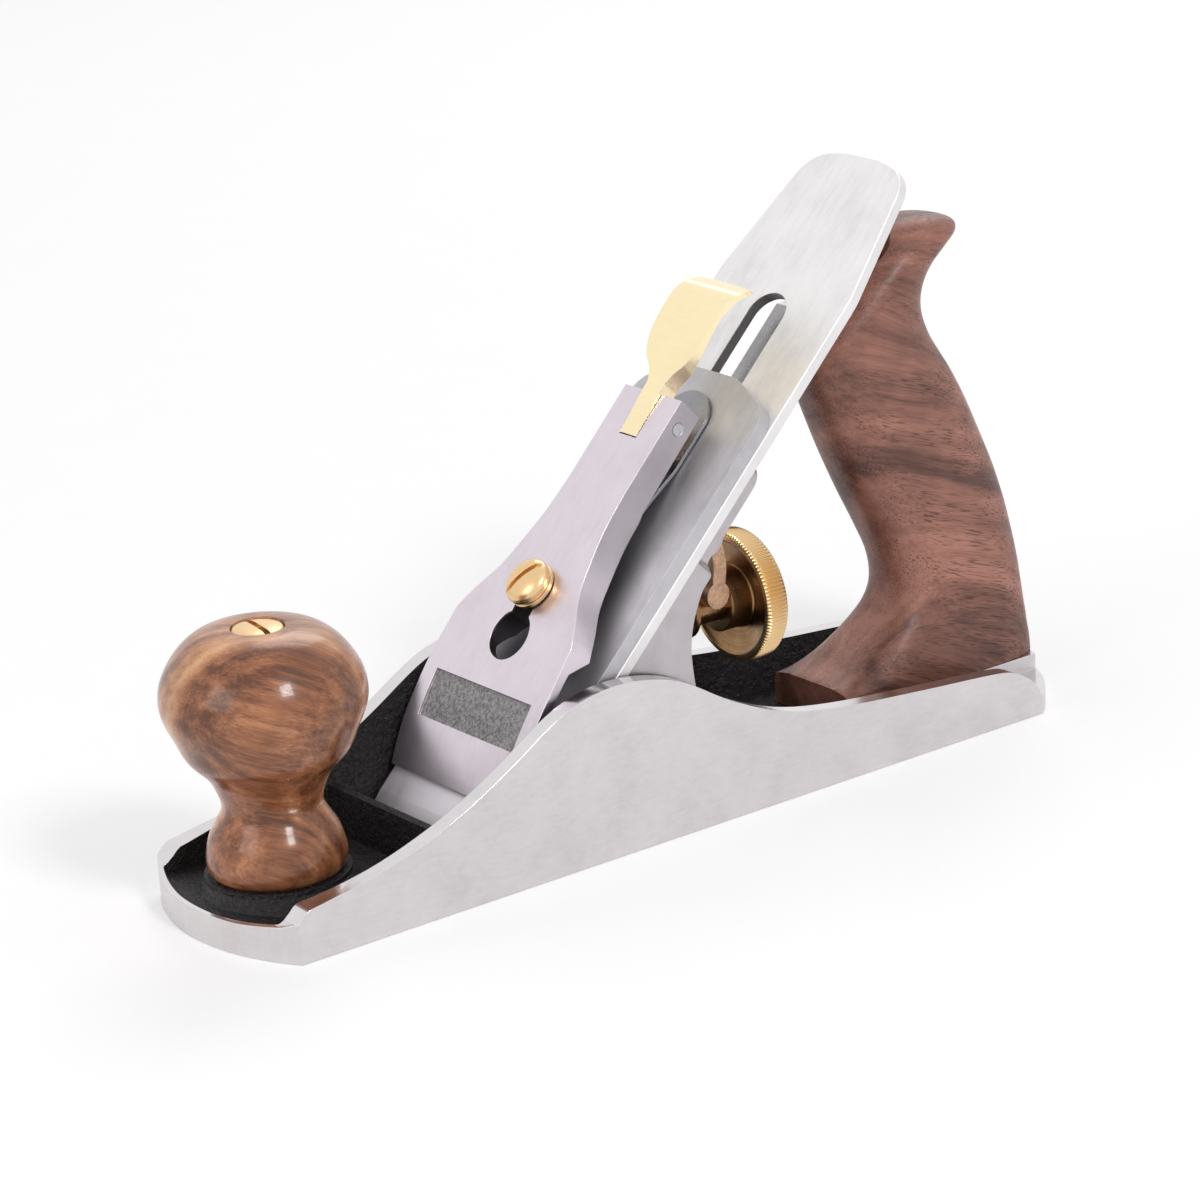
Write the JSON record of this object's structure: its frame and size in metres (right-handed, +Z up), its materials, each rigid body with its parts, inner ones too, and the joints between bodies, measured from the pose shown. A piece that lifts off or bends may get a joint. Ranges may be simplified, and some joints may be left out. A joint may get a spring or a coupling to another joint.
{
  "type": "smoothing plane",
  "caption": "Metal bench plane for smoothing wood, with an angled cutting iron under a cam-locked lever cap, a round front knob and a curved wooden rear handle.",
  "frame": {"origin": "on the sole, in the middle of its width and midway between the ends of its straight sides", "axes": "+X along the sole towards the toe, +Y to the user's left, +Z up"},
  "size_m": [0.2581, 0.062, 0.1493],
  "materials": {
    "casting": "machined satin outside, black paint inside",
    "frog_metal": "machined satin",
    "blade_steel": "ground satin",
    "cap_steel": "ground satin",
    "lever_cap_metal": "satin with a rough sunken panel",
    "spring_steel": "dull",
    "steel_fasteners": "turned",
    "polished_brass": "polished",
    "turned_brass": "turned",
    "cast_bronze": "cast",
    "knob_wood": "gloss",
    "tote_wood": "satin"
  },
  "bodies": {
    "base": {"body": "casting", "frog_clamp_screws": "steel_fasteners", "knob": "knob_wood", "knob_rod": "steel_fasteners", "knob_nut": "turned_brass", "tote": "tote_wood", "tote_rod": "steel_fasteners", "tote_nut": "turned_brass"},
    "frog": {"frog": "frog_metal", "frog_pins": "steel_fasteners", "adjust_tab": "steel_fasteners", "tab_screw": "steel_fasteners", "depth_stud": "steel_fasteners", "yoke_pin": "steel_fasteners", "lateral_pivot": "steel_fasteners"},
    "adjust_screw": {"frog_adjust_screw": "steel_fasteners"},
    "wheel": {"depth_wheel": "turned_brass"},
    "yoke": {"yoke": "cast_bronze"},
    "cutter": {"iron": "blade_steel", "cap_iron": "cap_steel", "cap_iron_screw": "steel_fasteners"},
    "cap": {"lever_cap": "lever_cap_metal", "leaf_spring": "spring_steel", "spring_rivet": "steel_fasteners", "cam_pin": "steel_fasteners"},
    "cam": {"cam_lever": "polished_brass"},
    "cap_screw": {"lever_cap_screw": "polished_brass"},
    "lateral": {"lateral_lever": "spring_steel"},
    "roller": {"lateral_roller": "steel_fasteners"}
  },
  "joints": [
    {"name": "frog_slide", "type": "slide", "parent": "base", "child": "frog", "axis": [0.9898, 0, -0.1426], "range_m": [-0.001, 0.001]},
    {"name": "adjust_screw_turn", "type": "hinge", "parent": "frog", "child": "adjust_screw", "pos_m": [-0.01451, 0, 0.01311], "axis": [0.9898, 0, -0.1426], "range_deg": [-451, 451]},
    {"name": "wheel_turn", "type": "hinge", "parent": "frog", "child": "wheel", "pos_m": [-0.0381, 0, 0.0445], "axis": [1, 0, 0], "range_deg": [-300, 300]},
    {"name": "yoke_swing", "type": "hinge", "parent": "frog", "child": "yoke", "pos_m": [-0.02399, 0, 0.06604], "axis": [0, 1, 0], "range_deg": [-3, 3]},
    {"name": "cutter_slide", "type": "slide", "parent": "frog", "child": "cutter", "axis": [-0.7071, 0, 0.7071], "range_m": [-0.00082, 0.00082]},
    {"name": "cap_slide", "type": "slide", "parent": "frog", "child": "cap", "axis": [-0.7071, 0, 0.7071], "range_m": [0, 0.0131]},
    {"name": "cam_turn", "type": "hinge", "parent": "cap", "child": "cam", "pos_m": [-0.01699, 0, 0.09581], "axis": [0, 1, 0], "range_deg": [0, 100]},
    {"name": "cap_screw_turn", "type": "hinge", "parent": "frog", "child": "cap_screw", "pos_m": [0.00981, 0, 0.05049], "axis": [0.7071, 0, 0.7071], "range_deg": [-90, 90]},
    {"name": "lateral_swing", "type": "hinge", "parent": "frog", "child": "lateral", "pos_m": [-0.02597, 0, 0.08627], "axis": [0.7071, 0, 0.7071], "range_deg": [-7, 7]},
    {"name": "roller_turn", "type": "hinge", "parent": "lateral", "child": "roller", "pos_m": [-0.01925, 0, 0.07955], "axis": [0.7071, 0, 0.7071], "continuous": true}
  ],
  "couplings": [
    {"joint": "adjust_screw_turn", "follows": "frog_slide", "rad_per_m": 7854.2},
    {"joint": "wheel_turn", "follows": "cutter_slide", "rad_per_m": -6369.4},
    {"joint": "yoke_swing", "follows": "cutter_slide", "rad_per_m": -63.694}
  ]
}
